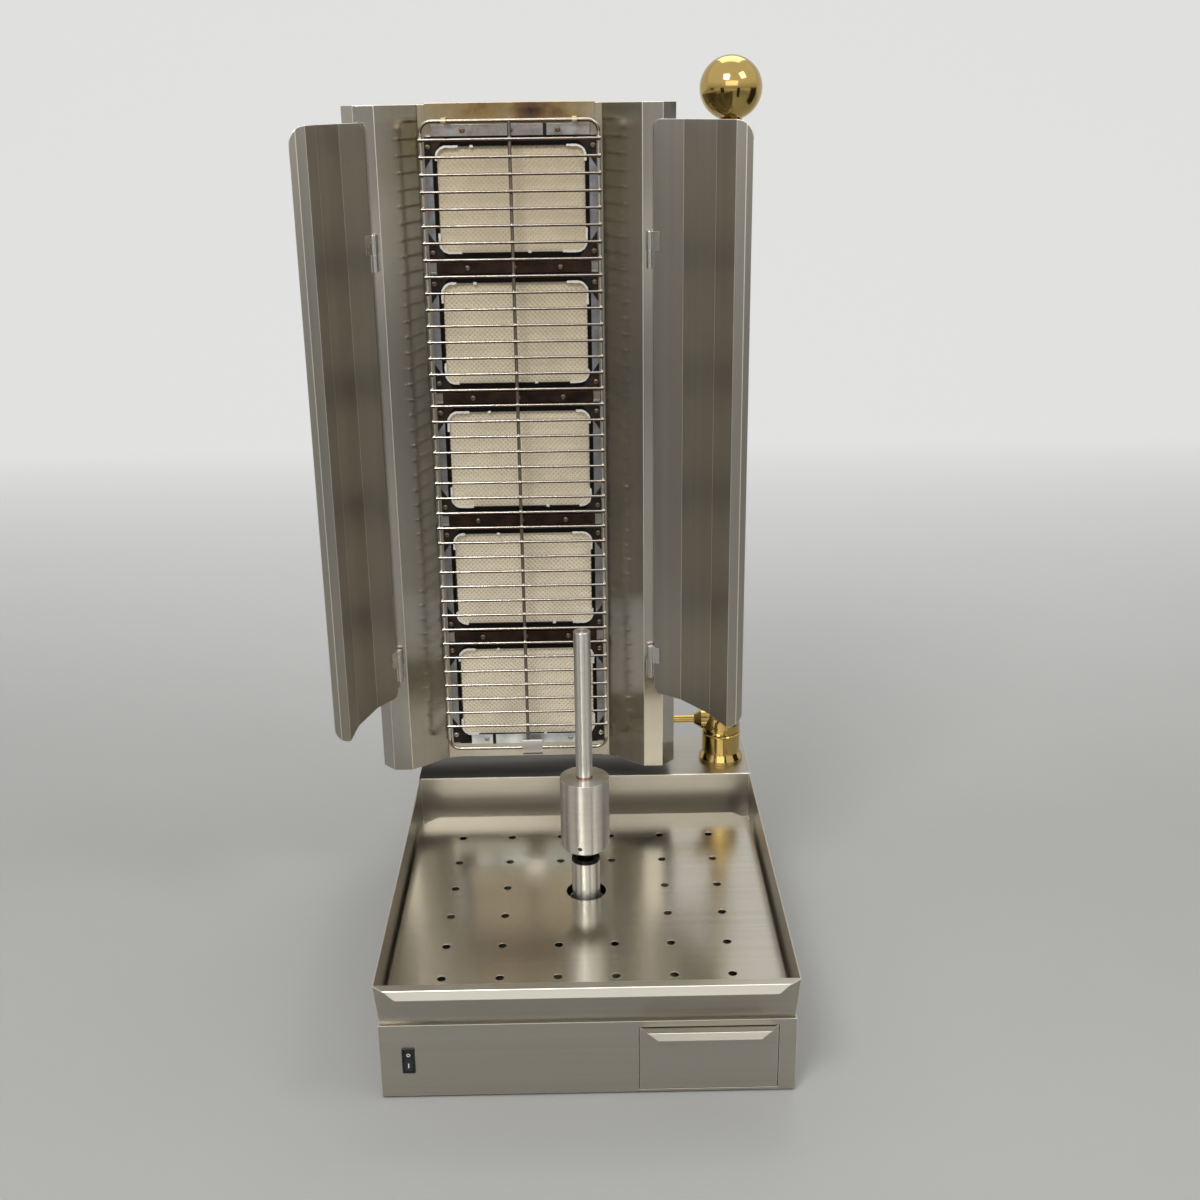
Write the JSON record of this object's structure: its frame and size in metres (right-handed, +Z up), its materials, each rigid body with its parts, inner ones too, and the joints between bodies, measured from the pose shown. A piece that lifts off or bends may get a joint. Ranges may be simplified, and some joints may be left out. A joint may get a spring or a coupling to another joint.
{
  "type": "doner kebab grill",
  "caption": "Upright gas doner grill: burner tower with side shields on a swivel post, motor-driven spit over a drip tray, grease drawer in the base.",
  "frame": {"origin": "on the floor under the middle of the base, on the underside of the bottom plate", "axes": "+Z up, +X to the right seen from the front, the front looks along -Y"},
  "size_m": [0.5618, 0.6915, 1.146],
  "materials": {
    "stainless_sheet": "brushed stainless sheet, warm grey",
    "plain_steel": "plain zinc-plated steel",
    "turned_steel": "turned stainless bar",
    "wire_steel": "bright stainless wire, heat stained",
    "polished_brass": "polished brass",
    "cast_burner": "dark cast iron, heat stained",
    "ceramic": "matt cream cordierite ceramic",
    "drive_casing": "grey machine paint",
    "black_plastic": "black moulded plastic"
  },
  "bodies": {
    "base": {"base_cabinet": "stainless_sheet", "bottom_plate": "plain_steel", "plate_screws": "plain_steel", "rear_deck": "stainless_sheet", "drip_tray": "stainless_sheet", "perforated_insert": "stainless_sheet", "spindle_bush": "turned_steel", "gearbox": "drive_casing", "drive_motor": "drive_casing", "motor_bracket": "plain_steel", "motor_screws": "plain_steel", "switch_bezel": "black_plastic", "cable_gland": "black_plastic", "gas_inlet": "polished_brass", "gas_pipe": "polished_brass", "drawer_runners": "plain_steel", "drawer_guides": "plain_steel", "post_base": "polished_brass", "post_nut": "plain_steel"},
    "drawer": {"drawer_pan": "stainless_sheet", "drawer_front": "stainless_sheet"},
    "spindle": {"drive_spindle": "turned_steel"},
    "spit": {"spit_coupling": "turned_steel", "spit_rod": "turned_steel", "drive_pin": "turned_steel"},
    "rocker": {"switch_rocker": "black_plastic"},
    "tower": {"swivel_head": "polished_brass", "swivel_post": "polished_brass", "gas_arm": "polished_brass", "post_brackets": "plain_steel", "ball_finial": "polished_brass", "left_reflector": "stainless_sheet", "right_reflector": "stainless_sheet", "burner_panel": "stainless_sheet", "rear_cover": "stainless_sheet", "top_cap": "stainless_sheet", "bottom_cap": "stainless_sheet", "burner_1": "cast_burner", "burner_2": "cast_burner", "burner_3": "cast_burner", "burner_4": "cast_burner", "burner_5": "cast_burner", "ceramic_plaques": "ceramic", "burner_frames": "cast_burner", "cross_straps": "stainless_sheet", "tower_screws": "plain_steel", "grille": "wire_steel", "grille_clips": "plain_steel", "gas_manifold": "plain_steel", "gas_valves": "polished_brass", "hinge_pins": "plain_steel"},
    "left_shield": {"left_shield": "stainless_sheet", "left_knuckles": "plain_steel"},
    "right_shield": {"right_shield": "stainless_sheet", "right_knuckles": "plain_steel"},
    "knob_1": {"gas_knob_1": "black_plastic"},
    "knob_2": {"gas_knob_2": "black_plastic"},
    "knob_3": {"gas_knob_3": "black_plastic"},
    "knob_4": {"gas_knob_4": "black_plastic"},
    "knob_5": {"gas_knob_5": "black_plastic"}
  },
  "joints": [
    {"name": "drawer_slide", "type": "slide", "parent": "base", "child": "drawer", "axis": [0, -1, 0], "range_m": [0, 0.28]},
    {"name": "spit_rotation", "type": "hinge", "parent": "base", "child": "spindle", "pos_m": [0, -0.064, 0.15], "axis": [0, 0, 1], "continuous": true},
    {"name": "spit_lift", "type": "slide", "parent": "spindle", "child": "spit", "axis": [0, 0, 1], "range_m": [0, 0.1]},
    {"name": "rocker_tilt", "type": "hinge", "parent": "base", "child": "rocker", "pos_m": [-0.207, -0.309, 0.052], "axis": [1, 0, 0], "range_deg": [0, 18]},
    {"name": "tower_swing", "type": "hinge", "parent": "base", "child": "tower", "pos_m": [0.201, 0.236, 0.22], "axis": [0, 0, 1], "range_deg": [-20, 30]},
    {"name": "left_shield_swing", "type": "hinge", "parent": "tower", "child": "left_shield", "pos_m": [-0.254, 0.155, 0.7], "axis": [0, 0, 1], "range_deg": [-54, 42]},
    {"name": "right_shield_swing", "type": "hinge", "parent": "tower", "child": "right_shield", "pos_m": [0.094, 0.155, 0.7], "axis": [0, 0, -1], "range_deg": [-36, 60]},
    {"name": "gas_knob_1_turn", "type": "hinge", "parent": "tower", "child": "knob_1", "pos_m": [0.07, 0.285, 0.297], "axis": [0, 1, 0], "range_deg": [0, 180]},
    {"name": "gas_knob_2_turn", "type": "hinge", "parent": "tower", "child": "knob_2", "pos_m": [0.07, 0.285, 0.4665], "axis": [0, 1, 0], "range_deg": [0, 180]},
    {"name": "gas_knob_3_turn", "type": "hinge", "parent": "tower", "child": "knob_3", "pos_m": [0.07, 0.285, 0.636], "axis": [0, 1, 0], "range_deg": [0, 180]},
    {"name": "gas_knob_4_turn", "type": "hinge", "parent": "tower", "child": "knob_4", "pos_m": [0.07, 0.285, 0.8055], "axis": [0, 1, 0], "range_deg": [0, 180]},
    {"name": "gas_knob_5_turn", "type": "hinge", "parent": "tower", "child": "knob_5", "pos_m": [0.07, 0.285, 0.975], "axis": [0, 1, 0], "range_deg": [0, 180]}
  ]
}
